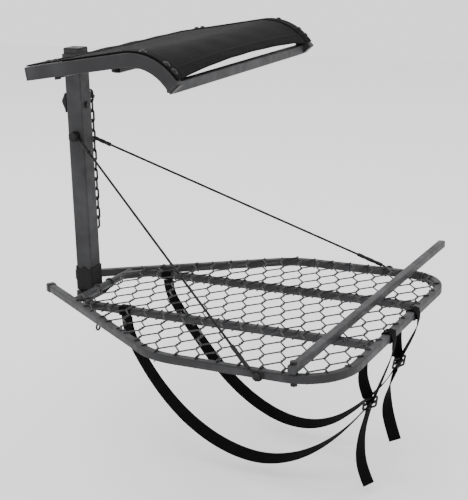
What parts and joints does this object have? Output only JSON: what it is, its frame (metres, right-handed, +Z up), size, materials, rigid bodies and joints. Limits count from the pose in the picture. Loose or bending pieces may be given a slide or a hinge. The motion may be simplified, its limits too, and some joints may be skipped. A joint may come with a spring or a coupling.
{
  "type": "hang-on tree stand",
  "caption": "Steel hang-on tree stand with a post, a fold-up mesh deck on cables, a flip-up sling seat, a swing-out bar and carry straps.",
  "frame": {"origin": "point on the trunk line, level with the centre line of the deck rails, midway between them", "axes": "+X away from the trunk, +Y across the deck, +Z up along the post"},
  "size_m": [0.7913, 0.8599, 0.8555],
  "materials": {
    "grey_coat": "matte powder coat",
    "black_rubber": "matte",
    "black_plastic": "satin",
    "black_steel": "satin black",
    "wire_rope": "stranded",
    "chain_steel": "dull dark zinc",
    "webbing": "woven webbing",
    "sling_fabric": "coated weave"
  },
  "bodies": {
    "post": {"base_bolt": "black_steel", "base_bracket": "grey_coat", "cable_bolt": "black_steel", "cable_washers": "black_steel", "chain": "chain_steel", "chain_hook": "black_steel", "claw_bolt": "black_steel", "post_boot": "black_rubber", "post_cap": "black_plastic", "post_tube": "grey_coat", "seat_pivot_bolt": "black_steel", "tree_claw": "black_steel"},
    "platform": {"anchor_bolts": "black_steel", "anchor_spacers": "black_steel", "buckle_left": "black_plastic", "buckle_right": "black_plastic", "cable_left": "wire_rope", "cable_right": "wire_rope", "cable_sleeves_left": "black_plastic", "cable_sleeves_right": "black_plastic", "deck_mesh": "grey_coat", "front_bar": "grey_coat", "inner_bar_left": "grey_coat", "inner_bar_right": "grey_coat", "rail_end_caps": "black_plastic", "rail_ring": "black_steel", "rear_cross_tube": "grey_coat", "side_rail_left": "grey_coat", "side_rail_right": "grey_coat", "strap_long_left": "webbing", "strap_long_right": "webbing", "strap_loop_left": "webbing", "strap_loop_right": "webbing", "strap_tail_left": "webbing", "strap_tail_right": "webbing", "strap_wraps": "webbing", "swing_bolt": "black_steel", "swing_washer": "black_steel"},
    "footrest": {"swing_bar": "grey_coat", "swing_bar_plugs": "grey_coat"},
    "seat": {"seat_arm_left": "grey_coat", "seat_arm_right": "grey_coat", "seat_cross_front": "grey_coat", "seat_cross_mid": "grey_coat", "seat_cross_rear": "grey_coat", "seat_ears": "grey_coat", "seat_front_bar": "grey_coat", "seat_front_caps": "black_plastic", "seat_rail_bolts": "black_steel", "seat_rail_left": "grey_coat", "seat_rail_right": "grey_coat", "seat_rear_caps": "black_plastic", "seat_risers": "grey_coat", "sling": "sling_fabric", "sling_bolts": "black_steel"}
  },
  "joints": [
    {"name": "platform_fold", "type": "hinge", "parent": "post", "child": "platform", "pos_m": [0.066, 0, 0], "axis": [0, -1, 0], "range_deg": [0, 88], "deforming": ["cable_left", "cable_right", "cable_sleeves_left", "cable_sleeves_right"]},
    {"name": "seat_flip", "type": "hinge", "parent": "post", "child": "seat", "pos_m": [0.03, 0, 0.484], "axis": [0, -1, 0], "range_deg": [0, 88]},
    {"name": "footrest_swing", "type": "hinge", "parent": "platform", "child": "footrest", "pos_m": [0.658, -0.3235, 0.0193], "axis": [0, 0, -1], "range_deg": [0, 90]}
  ],
  "couplings": [
    {"joint": "seat_flip", "follows": "platform_fold", "ratio": 1}
  ]
}
